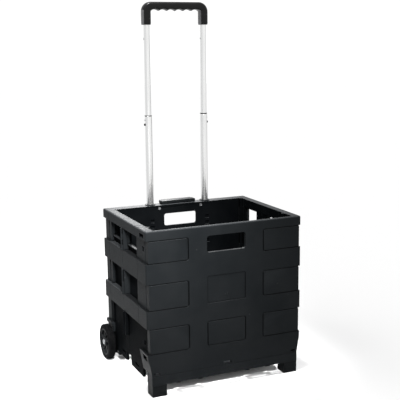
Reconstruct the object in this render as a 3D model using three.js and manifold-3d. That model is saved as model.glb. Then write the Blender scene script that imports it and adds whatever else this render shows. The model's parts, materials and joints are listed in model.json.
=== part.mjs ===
// A folding shopping trolley: a plastic crate with bi-fold sides and a flip-up floor,
// on two rear wheels and two front feet, with a three-stage telescopic handle.
// Millimetres, +X to the right seen from the front, +Y to the rear, +Z up.
// The origin is on the ground, under the middle of the trolley's box.
import * as THREE from "three";
import { mergeVertices } from "three/addons/utils/BufferGeometryUtils.js";
import Module from "manifold-3d";

const wasm = await Module();
wasm.setup();

// ---------------------------------------------------------------- driving dimensions
const WHEEL = { radius: 47.5, width: 18, inner: 206.5, rimRadius: 36 };
const FRONT_Y = -174; // outer face of the front panel
const AXLE = { y: -FRONT_Y - WHEEL.radius, z: WHEEL.radius, radius: 4 };
const HALF_WIDTH = 209; // outer face of the bands and the rim
const ROW_HALF_WIDTH = HALF_WIDTH - 6; // outer face of the rows, set back between the bands
const INNER_HALF_WIDTH = 187; // inner face of the side walls
const SKIRT_HALF_WIDTH = 199.5; // outer face at the foot of the crate
const SKIRT_INNER = 193;
const SIDE_SKIN = [INNER_HALF_WIDTH + 2, INNER_HALF_WIDTH + 7]; // the thin wall of a side's rows
const SIDE_FOOT_SKIN = [SKIRT_HALF_WIDTH - 6, SKIRT_HALF_WIDTH]; // and of its lowest row
const SIDE_THROUGH = [INNER_HALF_WIDTH - 7, HALF_WIDTH + 6]; // a cut that goes right through a side
const PANEL_BOTTOM = 29;
const RIM = [388, 411];
const ROWS = [[331, 388], [216, 282], [108, 172]];
const BANDS = [[282, 331], [172, 216], [55, 108]];
const SKIRT = [PANEL_BOTTOM, 55];
const FRONT_WALL = 8;
const CORNER_RADIUS = 6;

const HINGE = { x: 186, rearY: 115, halfLength: 119.5, pinRadius: 2.5, barrelRadius: 5.5 };
HINGE.midY = HINGE.rearY - HINGE.halfLength;
HINGE.frontY = HINGE.rearY - 2 * HINGE.halfLength;
const MID_HINGE = { x: HALF_WIDTH + 1, pinRadius: 1.4, barrelRadius: 3.4 };
const HINGE_BORE = [0, RIM[1] + 10]; // heights of a cut that clears a hinge pin all the way up
const PIN_GAP = 0.3; // between a pin and its hole, and between pieces that touch
const END_GAP = 1; // between the ends of panels that hinge on each other
const MID_GAP = 0.4; // from the middle hinge's plane to the end of each half

const BACK = { wallY: 117, wallRear: 122, rear: 149, flangeFront: 104, footHalfWidth: 178 };
const FLOOR = { bottom: 20.3, top: 27.3, halfWidth: 163, tabReach: 172, front: -146, rear: 112 };
const FLOOR_NOSE = { halfWidth: 158, rear: -136 }; // the narrower front edge, between the feet
const FLOOR_TABS = [[-110, -60], [16, 46]];
const FLOOR_POCKET = { half: 27, pitch: 62, depth: 50, step: 58, first: -122, skin: 3 };
const FLOOR_HINGE = { y: -152, z: 24, pinRadius: 2, barrelRadius: 4.5 };

const FOOT = { inner: 162, outer: 199, length: 34 };
const SIDE_WINDOW = { z: [348, 386], rear: [30, 98], front: [-92, -20] };
const SKIRT_HOLE = { z: [43, 51], rear: [22, 48], front: [-82, -52] };
const MID_NOTCH = [-23, 13]; // the gap in the skirt under the middle hinge
const CORNER_STRIP = { rear: -94, holes: [[357, 369], [124, 136]] }; // at the front of each side

const TUBE = { x: 80.5, y: 135, wall: 1.2 };
const STAGES = {
  outer: { radius: 11, z: [58, 409] },
  middle: { radius: 9.5, z: [312, 651] },
  upper: { radius: 8, z: [555, 904] },
};
const GRIP = { bottom: 889, top: 948, halfWidth: 93, bar: 24, depth: 26 };

// ---------------------------------------------------------------- materials
function material(color, roughness, metalness = 0) {
  return new THREE.MeshStandardMaterial({ color, roughness, metalness });
}
const crateBlack = () => material(0x26282a, 0.6);
const deepBlack = () => material(0x17181a, 0.5);
const glossBlack = () => material(0x0b0b0c, 0.2);
const rubberBlack = () => material(0x141414, 0.85);
const aluminium = () => material(0xd4d7da, 0.22, 1);
const zincSteel = () => material(0xb9bcc0, 0.35, 1);

// ---------------------------------------------------------------- solids
// Turns a closed three.js geometry into a solid that can be joined and cut.
function solid(geometry) {
  const flat = geometry.index ? geometry.toNonIndexed() : geometry;
  flat.deleteAttribute("normal");
  flat.deleteAttribute("uv");
  const merged = mergeVertices(flat, 1e-3);
  return new wasm.Manifold(
    new wasm.Mesh({
      numProp: 3,
      vertProperties: merged.attributes.position.array,
      triVerts: new Uint32Array(merged.index.array),
    }),
  );
}

function geometryOf(shape) {
  const mesh = shape.asOriginal().simplify(0.002).getMesh();
  const geometry = new THREE.BufferGeometry();
  geometry.setAttribute("position", new THREE.BufferAttribute(mesh.vertProperties, 3));
  geometry.setIndex(new THREE.BufferAttribute(mesh.triVerts, 1));
  geometry.computeVertexNormals();
  return geometry;
}

const join = (solids) => solids.reduce((whole, next) => whole.add(next));
const cut = (whole, tools) => tools.reduce((left, tool) => left.subtract(tool), whole);

// A block between two limits on each axis.
function block(x, y, z) {
  const size = [x, y, z].map(([low, high]) => high - low);
  const middle = [x, y, z].map(([low, high]) => (low + high) / 2);
  return solid(new THREE.BoxGeometry(...size).translate(...middle));
}

// A span along X on one side of the trolley, given by its distances from the middle plane.
function mirrored(side, reach) {
  return [side * reach[0], side * reach[1]].sort((a, b) => a - b);
}

// A block on one side of the trolley, given by its distance from the middle plane.
function sideBlock(side, reach, y, z) {
  return block(mirrored(side, reach), y, z);
}

// A round bar along one axis. centre gives the other two places, in X, Y, Z order.
function bar(axis, centre, radius, span, sides = 10) {
  const geometry = new THREE.CylinderGeometry(radius, radius, span[1] - span[0], sides);
  const middle = (span[0] + span[1]) / 2;
  if (axis === "x") geometry.rotateZ(Math.PI / 2).translate(middle, centre[0], centre[1]);
  if (axis === "y") geometry.translate(centre[0], middle, centre[1]);
  if (axis === "z") geometry.rotateX(Math.PI / 2).translate(centre[0], centre[1], middle);
  return solid(geometry);
}

// A body of revolution about an axis along X. profile holds [radius, x] pairs.
function turned(profile, centre, sides) {
  const points = profile.map(([radius, along]) => new THREE.Vector2(radius, along));
  const geometry = new THREE.LatheGeometry(points, sides).rotateZ(-Math.PI / 2);
  return solid(geometry.translate(0, centre[0], centre[1]));
}

// An outline in plan, raised between two heights.
function prism(shape, z) {
  const options = { depth: z[1] - z[0], bevelEnabled: false, curveSegments: 4 };
  return solid(new THREE.ExtrudeGeometry(shape, options).translate(0, 0, z[0]));
}

// An outline seen from the front, in X and Z, given depth along Y.
function slab(shape, y, curveSegments = 2) {
  const options = { depth: y[1] - y[0], bevelEnabled: false, curveSegments };
  const geometry = new THREE.ExtrudeGeometry(shape, options).rotateX(Math.PI / 2);
  return solid(geometry.translate(0, y[1], 0));
}

function roundedRectangle(x, z, radius) {
  const shape = new THREE.Shape();
  shape.absarc(x[0] + radius, z[0] + radius, radius, Math.PI, 1.5 * Math.PI);
  shape.absarc(x[1] - radius, z[0] + radius, radius, 1.5 * Math.PI, 2 * Math.PI);
  shape.absarc(x[1] - radius, z[1] - radius, radius, 0, 0.5 * Math.PI);
  shape.absarc(x[0] + radius, z[1] - radius, radius, 0.5 * Math.PI, Math.PI);
  return shape;
}

const grow = (span, amount) => [span[0] - amount, span[1] + amount];
const trolley = new THREE.Group();

function place(name, shape, look) {
  const mesh = new THREE.Mesh(geometryOf(shape), look);
  mesh.name = name;
  trolley.add(mesh);
}

const SIDES = [["left", -1], ["right", 1]];

// The lower sides of the crate draw in towards the ground: this is what is cut away.
function lowerTaper(side, y) {
  const far = HALF_WIDTH + 20;
  const start = BANDS[2][1] + 0.5;
  const shape = new THREE.Shape();
  shape.moveTo(side * (HALF_WIDTH + 0.01), start);
  shape.lineTo(side * SKIRT_HALF_WIDTH, SKIRT[1]);
  shape.lineTo(side * SKIRT_HALF_WIDTH, 0);
  shape.lineTo(side * far, 0);
  shape.lineTo(side * far, start);
  return slab(shape, y);
}

// ---------------------------------------------------------------- front panel
const GROOVE = { width: 2.5, depth: 2 };
const PAD_INNER = 99.6; // where the side pads of each row begin
const CENTRE_HALF = 52; // half the width of the window and the centre pads
const FLANGE_END = { rim: -98, band: HINGE.frontY + 10, skirt: -139 };
const FLANGE_SLOTS = [[392, 402], [88, 101]]; // heights, under the rim and at the lowest band
const FRONT_WINDOW_Z = [345, 386];
const PLAIN_RECESS = { z: [217, 286], depth: 1.5 };
const FOOT_SLOTS = { x: [[-195, -180], [-9, 12], [182, 195]], z: [55, 61] };
const SKIRT_CREASE = { z: [52, 53.5], depth: 0.8 };

// The U-shaped plan of the front panel at a band: the wall, two round corners, two flanges.
function frontPlan(flangeEnd) {
  const shape = new THREE.Shape();
  const centreX = HALF_WIDTH - CORNER_RADIUS;
  const centreY = FRONT_Y + CORNER_RADIUS;
  shape.moveTo(-HALF_WIDTH, flangeEnd);
  shape.lineTo(-HALF_WIDTH, centreY);
  shape.absarc(-centreX, centreY, CORNER_RADIUS, Math.PI, 1.5 * Math.PI);
  shape.absarc(centreX, centreY, CORNER_RADIUS, 1.5 * Math.PI, 2 * Math.PI);
  shape.lineTo(HALF_WIDTH, flangeEnd);
  shape.lineTo(INNER_HALF_WIDTH, flangeEnd);
  shape.lineTo(INNER_HALF_WIDTH, FRONT_Y + FRONT_WALL);
  shape.lineTo(-INNER_HALF_WIDTH, FRONT_Y + FRONT_WALL);
  shape.lineTo(-INNER_HALF_WIDTH, flangeEnd);
  return shape;
}

// A groove that outlines a pad on the front face.
function padGroove(x, z) {
  const outline = roundedRectangle(x, z, 6);
  const inside = roundedRectangle(grow(x, -GROOVE.width), grow(z, -GROOVE.width), 4);
  const y = [FRONT_Y - 1, FRONT_Y + GROOVE.depth];
  return slab(outline, y).subtract(slab(inside, grow(y, 1)));
}

function frontPanel() {
  const wall = [FRONT_Y, FRONT_Y + FRONT_WALL];
  const solids = [block([-ROW_HALF_WIDTH, ROW_HALF_WIDTH], wall, [PANEL_BOTTOM, RIM[0]])];
  solids.push(prism(frontPlan(FLANGE_END.rim), RIM));
  solids.push(prism(frontPlan(FLANGE_END.skirt), SKIRT));
  for (const band of BANDS) solids.push(prism(frontPlan(FLANGE_END.band), band));
  const post = [INNER_HALF_WIDTH, ROW_HALF_WIDTH];
  const tools = [];
  for (const [, side] of SIDES) {
    const axis = [side * HINGE.x, HINGE.frontY];
    for (const level of [...BANDS, RIM]) solids.push(bar("z", axis, HINGE.barrelRadius, level));
    // corner posts behind the rows
    solids.push(sideBlock(side, post, [FRONT_Y, FRONT_Y + 18], [PANEL_BOTTOM, RIM[0]]));
    tools.push(bar("z", axis, HINGE.pinRadius + PIN_GAP, [PANEL_BOTTOM, RIM[1] + 1]));
    tools.push(lowerTaper(side, [FRONT_Y - 1, HINGE.frontY + 20]));
    // long slots in the flanges
    for (const z of FLANGE_SLOTS) {
      tools.push(sideBlock(side, SIDE_THROUGH, [FRONT_Y + 15, HINGE.frontY - 8], z));
    }
    for (const row of ROWS) {
      tools.push(padGroove(mirrored(side, [PAD_INNER, HALF_WIDTH + 15]), row));
    }
  }
  const centre = [-CENTRE_HALF, CENTRE_HALF];
  const through = grow(wall, 1);
  const front = FRONT_Y - 1;
  tools.push(padGroove(grow(centre, 1), ROWS[2]));
  tools.push(slab(roundedRectangle(centre, FRONT_WINDOW_Z, 6), through));
  const recess = roundedRectangle(centre, PLAIN_RECESS.z, 4);
  tools.push(slab(recess, [front, FRONT_Y + PLAIN_RECESS.depth]));
  for (const x of FOOT_SLOTS.x) tools.push(block(x, through, FOOT_SLOTS.z));
  const crease = [front, FRONT_Y + SKIRT_CREASE.depth];
  tools.push(block([-HALF_WIDTH, HALF_WIDTH], crease, SKIRT_CREASE.z));
  return cut(cut(join(solids), tools).add(floorLugs()), [floorPinHole()]);
}

// The lugs behind the front panel that hold the floor's hinge pins.
function floorLugs() {
  const y = [FRONT_Y + FRONT_WALL - 1, FLOOR_HINGE.y + 5.5];
  const seat = [FLOOR_HINGE.y - 4.5, y[1]];
  const lugs = [];
  for (const [, side] of SIDES) {
    for (const reach of FLOOR_LUGS) {
      lugs.push(sideBlock(side, reach, y, [PANEL_BOTTOM, PANEL_BOTTOM + 3]));
      lugs.push(sideBlock(side, reach, seat, [FLOOR_HINGE.z - 4.5, PANEL_BOTTOM + 1]));
    }
  }
  return join(lugs);
}

// ---------------------------------------------------------------- floor
const FLOOR_LUGS = [[60, 72], [118, 130]]; // lugs on the front panel, on each side
const FLOOR_BARREL = [73, 117]; // the floor's own barrel, between the lugs
const FLOOR_PIN = [59, 131];

function floorPinHole() {
  const radius = FLOOR_HINGE.pinRadius + PIN_GAP;
  return bar("x", [FLOOR_HINGE.y, FLOOR_HINGE.z], radius, [-FLOOR_PIN[1] - 1, FLOOR_PIN[1] + 1]);
}

function floorPanel() {
  const z = [FLOOR.bottom, FLOOR.top];
  const nose = [-FLOOR_NOSE.halfWidth, FLOOR_NOSE.halfWidth];
  const solids = [block(nose, [FLOOR.front, FLOOR_NOSE.rear + 6], z)];
  solids.push(block([-FLOOR.halfWidth, FLOOR.halfWidth], [FLOOR_NOSE.rear, FLOOR.rear], z));
  // tabs along the sides
  for (const y of FLOOR_TABS) solids.push(block([-FLOOR.tabReach, FLOOR.tabReach], y, z));
  const tools = [];
  for (const [, side] of SIDES) {
    const barrel = mirrored(side, FLOOR_BARREL);
    const axis = [FLOOR_HINGE.y, FLOOR_HINGE.z];
    solids.push(bar("x", axis, FLOOR_HINGE.barrelRadius, barrel));
    solids.push(block(barrel, [FLOOR_HINGE.y, FLOOR.front + 2], z));
    for (const [low, high] of FLOOR_LUGS) {
      tools.push(sideBlock(side, [low - 1, high + 1], [FLOOR.front - 1, FLOOR_HINGE.y + 12], grow(z, 1)));
    }
  }
  // shallow pockets underneath leave a grid of ribs
  for (let column = -2; column <= 2; column += 1) {
    for (let line = 0; line < 4; line += 1) {
      const { half, pitch, depth, step, first, skin } = FLOOR_POCKET;
      const x = [column * pitch - half, column * pitch + half];
      const front = first + line * step;
      tools.push(block(x, [front, front + depth], [FLOOR.bottom - 1, FLOOR.top - skin]));
    }
  }
  return cut(join(solids), [...tools, floorPinHole()]);
}

// ---------------------------------------------------------------- side panels
// The middle hinge has barrels in each row, which belong to the rear and front halves in turn.
// The bands run past it with only a seam. MID_BARREL_COUNTS goes with ROWS, from the top.
const MID_BARREL_COUNTS = [4, 2, 2];
const MID_BARRELS = ROWS.flatMap(([low, high], row) => {
  const pitch = (high - low) / MID_BARREL_COUNTS[row];
  return Array.from({ length: MID_BARREL_COUNTS[row] }, (_, step) => [
    low + step * pitch,
    low + (step + 1) * pitch,
  ]);
});

function midHinge(side, own) {
  const axis = [side * MID_HINGE.x, HINGE.midY];
  const mine = [];
  const { pinRadius, barrelRadius } = MID_HINGE;
  const clear = [];
  MID_BARRELS.forEach((span, index) => {
    if (index % 2 === own) mine.push(bar("z", axis, barrelRadius, grow(span, -0.3), 8));
    else clear.push(bar("z", axis, barrelRadius + 0.6, grow(span, 0.1), 8));
  });
  const bores = ROWS.map((row) => bar("z", axis, pinRadius + PIN_GAP, row, 8));
  return { mine, clear, bores };
}

// One half of a side wall, with the spans along Y that its rows, bands, rim and skirt run to.
// own picks its share of the middle hinge's barrels: 0 for a rear half and 1 for a front half.
function sideHalf(side, { rows, bands, rim, skirt, window, hole, own }) {
  const band = [INNER_HALF_WIDTH, HALF_WIDTH];
  const solids = [sideBlock(side, band, rim, RIM)];
  const skirtReach = [SKIRT_INNER, SKIRT_HALF_WIDTH - 0.1];
  solids.push(sideBlock(side, skirtReach, skirt, [PANEL_BOTTOM + 2, SKIRT[1] + 1]));
  // the lowest band and row are flush with the skirt
  const outer = (level) => (level === BANDS[2] ? SKIRT_HALF_WIDTH : HALF_WIDTH);
  for (const level of BANDS) {
    solids.push(sideBlock(side, [INNER_HALF_WIDTH, outer(level)], bands, level));
  }
  const near = own ? -1 : 1;
  const hingeStile = [HINGE.midY + near * MID_GAP, HINGE.midY + near * 8].sort((a, b) => a - b);
  for (const level of ROWS) {
    const skin = level === ROWS[2] ? SIDE_FOOT_SKIN : SIDE_SKIN;
    solids.push(sideBlock(side, skin, rows, grow(level, 0.5)));
    solids.push(sideBlock(side, band, hingeStile, grow(level, 0.5)));
  }
  const middle = midHinge(side, own);
  const tools = [];
  const inside = [Math.max(rows[0], bands[0]) + 4, Math.min(rows[1], bands[1]) - 4];
  for (const level of BANDS) {
    tools.push(sideBlock(side, [INNER_HALF_WIDTH - 1, outer(level) - 4], inside, grow(level, -4)));
  }
  tools.push(sideBlock(side, SIDE_THROUGH, window, SIDE_WINDOW.z));
  tools.push(sideBlock(side, SIDE_THROUGH, hole, SKIRT_HOLE.z));
  tools.push(...middle.bores);
  return { solids, tools, middle };
}

// Clears the other half's barrels first, then adds this half's own and makes the other cuts.
function finishHalf({ solids, tools, middle }) {
  return cut(cut(join(solids), middle.clear).add(join(middle.mine)), tools);
}

function sideRear(side) {
  const span = [HINGE.midY + MID_GAP, BACK.flangeFront - END_GAP];
  const half = sideHalf(side, {
    rows: span,
    bands: span,
    rim: span,
    skirt: [MID_NOTCH[1], span[1]],
    window: SIDE_WINDOW.rear,
    hole: SKIRT_HOLE.rear,
    own: 0,
  });
  const axis = [side * HINGE.x, HINGE.rearY];
  for (const level of ROWS) {
    const z = grow(level, -0.5);
    half.solids.push(bar("z", axis, HINGE.barrelRadius, z));
    half.solids.push(sideBlock(side, [HINGE.x + 1, ROW_HALF_WIDTH], [100, HINGE.rearY - 1], z));
  }
  half.tools.push(bar("z", axis, HINGE.pinRadius + PIN_GAP, HINGE_BORE));
  half.tools.push(sideBlock(side, SIDE_THROUGH, [HINGE.midY, MID_NOTCH[1]], [0, SKIRT[1]]));
  return finishHalf(half);
}

function sideFront(side) {
  const near = HINGE.midY - MID_GAP;
  const half = sideHalf(side, {
    rows: [FLANGE_END.rim + 1.5, near],
    bands: [FLANGE_END.band + 1.5, near],
    rim: [FLANGE_END.rim + 1.5, near],
    skirt: [FLANGE_END.band + 1.5, MID_NOTCH[0]],
    window: SIDE_WINDOW.front,
    hole: SKIRT_HOLE.front,
    own: 1,
  });
  const axis = [side * HINGE.x, HINGE.frontY];
  const strip = [HINGE.frontY - 28, CORNER_STRIP.rear];
  for (const level of ROWS) {
    const z = grow(level, -0.5);
    half.solids.push(bar("z", axis, HINGE.barrelRadius, z));
    half.solids.push(sideBlock(side, [HINGE.x + 1, ROW_HALF_WIDTH], strip, z));
  }
  // square holes in the corner strip
  for (const z of CORNER_STRIP.holes) {
    half.tools.push(sideBlock(side, SIDE_THROUGH, [HINGE.frontY - 22, HINGE.frontY - 9], z));
  }
  half.tools.push(bar("z", axis, HINGE.pinRadius + PIN_GAP, HINGE_BORE));
  half.tools.push(sideBlock(side, SIDE_THROUGH, [MID_NOTCH[0], HINGE.midY], [0, SKIRT[1]]));
  return finishHalf(half);
}

// ---------------------------------------------------------------- back panel
const BACK_WINDOW = { x: [-47, 47], z: [354, 387] };
const BRACKET = { inner: 190, outer: 203, top: 80, bottom: 14, front: 118.5 };
const BRACKET_LIP = { inner: 158, front: 96, top: 19.3 }; // the ledge under the rear of the floor
const CHANNEL = { inner: 66, outer: 92, rib: 3, rear: 147 };
const LADDER = { halfWidth: 6, first: 296, pitch: 17, height: 9, count: 5 };
const SCREW = { x: 61, z: 403, headRadius: 4, headDepth: 1.8, shankRadius: 1.5 };
const WHEEL_WELL = [WHEEL.inner - 1.5, 2 * WHEEL.radius + 4]; // how wide the back may be, up to what height

function backPanel() {
  const full = [PANEL_BOTTOM, RIM[0]];
  const ribDepth = [BACK.wallY, CHANNEL.rear];
  const solids = [block([-ROW_HALF_WIDTH, ROW_HALF_WIDTH], [BACK.wallY, BACK.wallRear], full)];
  solids.push(block([-HALF_WIDTH, HALF_WIDTH], [BACK.wallY, BACK.rear], RIM));
  const foot = [-BACK.footHalfWidth, BACK.footHalfWidth];
  solids.push(block(foot, ribDepth, [PANEL_BOTTOM, PANEL_BOTTOM + 5]));
  const tools = [];
  for (const [, side] of SIDES) {
    const hinge = [side * HINGE.x, HINGE.rearY];
    for (const level of [...BANDS, RIM]) {
      solids.push(sideBlock(side, [INNER_HALF_WIDTH, HALF_WIDTH], [BACK.flangeFront, CHANNEL.rear], level));
      solids.push(bar("z", hinge, HINGE.barrelRadius, level));
    }
    solids.push(sideBlock(side, [BRACKET.inner, ROW_HALF_WIDTH], ribDepth, [BRACKET.top, RIM[0]]));
    for (const x of [CHANNEL.inner, CHANNEL.outer]) {
      solids.push(sideBlock(side, [x, x + CHANNEL.rib], ribDepth, full));
    }
    for (const row of ROWS) {
      tools.push(sideBlock(side, [HINGE.x - 8, HALF_WIDTH], [100, HINGE.rearY + 6.5], row));
    }
    // the lower corners stay open for the wheel brackets and clear of the wheels
    const depth = [BACK.flangeFront - 1, BACK.rear + 1];
    const bracketTop = [0, BRACKET.top + PIN_GAP];
    tools.push(sideBlock(side, [BACK.footHalfWidth, HALF_WIDTH + 5], [depth[0], BACK.wallY], bracketTop));
    tools.push(sideBlock(side, [BRACKET.inner - PIN_GAP, HALF_WIDTH + 5], depth, bracketTop));
    tools.push(sideBlock(side, [WHEEL_WELL[0], HALF_WIDTH + 5], depth, [0, WHEEL_WELL[1]]));
    tools.push(bar("z", hinge, HINGE.pinRadius + PIN_GAP, HINGE_BORE));
    const tubeBore = STAGES.outer.radius + PIN_GAP;
    tools.push(bar("z", [side * TUBE.x, TUBE.y], tubeBore, [SKIRT[1], RIM[1] + 1], 20));
    const screwHole = [BACK.wallY - 1, BACK.wallY + 12];
    tools.push(bar("y", [side * SCREW.x, SCREW.z], SCREW.shankRadius + PIN_GAP, screwHole, 8));
    tools.push(...ladderSlots(side));
  }
  tools.push(slab(roundedRectangle(BACK_WINDOW.x, BACK_WINDOW.z, 6), [BACK.wallY - 1, BACK.rear + 1]));
  tools.push(bar("x", [AXLE.y, AXLE.z], AXLE.radius + 0.4, [-HALF_WIDTH, HALF_WIDTH]));
  return cut(join(solids), tools);
}

// A ladder of slots in front of each tube.
function ladderSlots(side) {
  const x = [TUBE.x - LADDER.halfWidth, TUBE.x + LADDER.halfWidth];
  const slots = [];
  for (let step = 0; step < LADDER.count; step += 1) {
    const low = LADDER.first + step * LADDER.pitch;
    slots.push(sideBlock(side, x, [BACK.wallY - 1, BACK.wallRear + 1], [low, low + LADDER.height]));
  }
  return slots;
}

function tubeScrew(side) {
  const centre = [side * SCREW.x, SCREW.z];
  const seat = BACK.wallY - PIN_GAP;
  const head = bar("y", centre, SCREW.headRadius, [seat - SCREW.headDepth, seat]);
  const shank = bar("y", centre, SCREW.shankRadius, [BACK.wallY - 1, BACK.wallY + 10], 8);
  // the two arms of the cross recess
  const arms = [[2.6, 0.6], [0.6, 2.6]].map(([wide, high]) => {
    const x = [centre[0] - wide, centre[0] + wide];
    return block(x, [seat - SCREW.headDepth - 1, seat - 1], [SCREW.z - high, SCREW.z + high]);
  });
  return cut(head.add(shank), arms);
}

const CARRY_GRIP = { halfWidth: 50, height: 9, y: [127, 150] };

function carryGrip() {
  const { halfWidth, height, y } = CARRY_GRIP;
  const z = [RIM[1] + PIN_GAP, RIM[1] + height];
  return slab(roundedRectangle([-halfWidth, halfWidth], z, 4), y);
}

function wheelBracket(side) {
  const { inner, outer, bottom, top, front } = BRACKET;
  const axle = [AXLE.y, AXLE.z];
  const cheek = sideBlock(side, [inner, outer], [front, CHANNEL.rear], [bottom, top]);
  const ledge = [BRACKET_LIP.inner, inner + 2];
  const lip = sideBlock(side, ledge, [BRACKET_LIP.front, CHANNEL.rear], [bottom, BRACKET_LIP.top]);
  const boss = bar("x", axle, 8, mirrored(side, [outer - 3, outer + 2.2]), 16);
  const hole = bar("x", axle, AXLE.radius + PIN_GAP, mirrored(side, [150, 210]));
  return join([cheek, lip, boss]).subtract(hole);
}

// ---------------------------------------------------------------- handle
function tube(side, { radius, z }) {
  const centre = [side * TUBE.x, TUBE.y];
  const bore = bar("z", centre, radius - TUBE.wall, grow(z, 1), 20);
  return bar("z", centre, radius, z, 20).subtract(bore);
}

// A plastic ring that closes the top of a stage around the stage inside it.
function collar(side, innerRadius, outerRadius, z) {
  const centre = [side * TUBE.x, TUBE.y];
  const bore = bar("z", centre, innerRadius, grow(z, 1), 20);
  return bar("z", centre, outerRadius, z, 20).subtract(bore);
}

const BUTTON = { radius: 3.5, z: 629, inner: 9.3, outer: 12.4 };
const RIVET = { radius: 2.2, z: 641 };
const LOCK_HOLE = { radius: 2.2, z: 853 };

function middleTube(side) {
  const hole = bar("x", [TUBE.y, BUTTON.z], BUTTON.radius + PIN_GAP, outward(side, [7, 15]));
  return tube(side, STAGES.middle).subtract(hole);
}

// The hole across the tube takes the snap button when the stage is pushed in.
function upperTube(side) {
  const hole = bar("x", [TUBE.y, LOCK_HOLE.z], LOCK_HOLE.radius, outward(side, [-12, 12]), 8);
  return tube(side, STAGES.upper).subtract(hole);
}

// A span along X measured outwards from a tube's axis.
function outward(side, span) {
  return mirrored(side, [TUBE.x + span[0], TUBE.x + span[1]]);
}

function snapButton(side) {
  const { radius, z, inner, outer } = BUTTON;
  const shank = bar("x", [TUBE.y, z], radius, outward(side, [inner, outer - 0.8]));
  const crown = bar("x", [TUBE.y, z], radius - 0.8, outward(side, [outer - 1, outer]));
  return shank.add(crown);
}

// A flat rivet head on the outer side of the middle tube.
function stageRivet(side) {
  const radius = STAGES.middle.radius;
  return bar("x", [TUBE.y, RIVET.z], RIVET.radius, outward(side, [radius + 0.2, radius + 1.2]), 8);
}

function gripOutline() {
  const { bottom, top, halfWidth, bar: thick } = GRIP;
  const legInner = halfWidth - thick;
  const under = top - thick;
  const corner = 17;
  const scallops = 6;
  const pitch = (2 * legInner) / scallops;
  const shape = new THREE.Shape();
  shape.moveTo(-halfWidth, bottom);
  shape.lineTo(-halfWidth, top - corner);
  shape.absarc(-halfWidth + corner, top - corner, corner, Math.PI, 0.5 * Math.PI, true);
  shape.absarc(halfWidth - corner, top - corner, corner, 0.5 * Math.PI, 0, true);
  shape.lineTo(halfWidth, bottom);
  shape.lineTo(legInner, bottom);
  shape.lineTo(legInner, under);
  // finger scallops under the bar, from right to left
  for (let finger = 0; finger < scallops; finger += 1) {
    const from = legInner - finger * pitch;
    shape.quadraticCurveTo(from - pitch / 2, under + 5, from - pitch, under);
  }
  shape.lineTo(-legInner, bottom);
  return shape;
}

function grip() {
  const bevel = 3;
  const options = {
    depth: GRIP.depth - 2 * bevel,
    bevelEnabled: true,
    bevelThickness: bevel,
    bevelSize: bevel,
    bevelOffset: -bevel,
    bevelSegments: 1,
    curveSegments: 4,
  };
  const geometry = new THREE.ExtrudeGeometry(gripOutline(), options).rotateX(Math.PI / 2);
  const body = solid(geometry.translate(0, TUBE.y + GRIP.depth / 2 - bevel, 0));
  const { radius, z } = STAGES.upper;
  const depth = [GRIP.bottom - 5, z[1] + 1];
  const sockets = SIDES.map(([, side]) => bar("z", [side * TUBE.x, TUBE.y], radius + PIN_GAP, depth, 20));
  return cut(body, sockets);
}

// ---------------------------------------------------------------- wheels
function tyre(side) {
  const [near, far] = [side * WHEEL.inner, side * (WHEEL.inner + WHEEL.width)];
  const chamfer = side * 3;
  const inner = WHEEL.rimRadius + PIN_GAP;
  const profile = [
    [inner, near],
    [WHEEL.radius - 3, near],
    [WHEEL.radius, near + chamfer],
    [WHEEL.radius, far - chamfer],
    [WHEEL.radius - 3, far],
    [inner, far],
    [inner, near],
  ];
  return turned(side > 0 ? profile : profile.reverse(), [AXLE.y, AXLE.z], 28);
}

function hub(side) {
  const at = (reach) => side * (WHEEL.inner + reach);
  const bore = AXLE.radius + PIN_GAP;
  const web = [7, 11];
  const profile = [
    [bore, at(-0.3)],
    [9, at(-0.3)],
    [9, at(web[0])],
    [WHEEL.rimRadius - 3, at(web[0])],
    [WHEEL.rimRadius - 3, at(0.5)],
    [WHEEL.rimRadius, at(0.5)],
    [WHEEL.rimRadius, at(WHEEL.width - 0.5)],
    [WHEEL.rimRadius - 3, at(WHEEL.width - 0.5)],
    [WHEEL.rimRadius - 3, at(web[1])],
    [11, at(web[1])],
    [11, at(WHEEL.width)],
    [bore, at(WHEEL.width)],
    [bore, at(-0.3)],
  ];
  const body = turned(side > 0 ? profile : profile.reverse(), [AXLE.y, AXLE.z], 28);
  // five ribs across the outer dish
  const ribs = [];
  for (let index = 0; index < 5; index += 1) {
    const x = mirrored(side, [WHEEL.inner + web[1] - 1, WHEEL.inner + WHEEL.width - 3]);
    const length = [9, WHEEL.rimRadius - 2];
    const geometry = new THREE.BoxGeometry(x[1] - x[0], 4, length[1] - length[0]);
    geometry.translate((x[0] + x[1]) / 2, 0, (length[0] + length[1]) / 2);
    geometry.rotateX((index * 2 * Math.PI) / 5).translate(0, AXLE.y, AXLE.z);
    ribs.push(solid(geometry));
  }
  return body.add(join(ribs));
}

function axleCap(side) {
  const outer = WHEEL.inner + WHEEL.width;
  return bar("x", [AXLE.y, AXLE.z], 7, mirrored(side, [outer + 0.4, outer + 3.5]), 16);
}

// ---------------------------------------------------------------- assembly
place("back_panel", backPanel(), crateBlack());
place("rear_carry_grip", carryGrip(), deepBlack());
place("front_panel", frontPanel(), crateBlack());
place("floor_panel", floorPanel(), crateBlack());
place("handle_grip", grip(), glossBlack());
const axleReach = WHEEL.inner + WHEEL.width;
place("axle", bar("x", [AXLE.y, AXLE.z], AXLE.radius, [-axleReach, axleReach]), zincSteel());

const STRAP = { x: [63, 98], y: [CHANNEL.rear + PIN_GAP, CHANNEL.rear + 3.5], z: [92, 114] };

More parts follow.
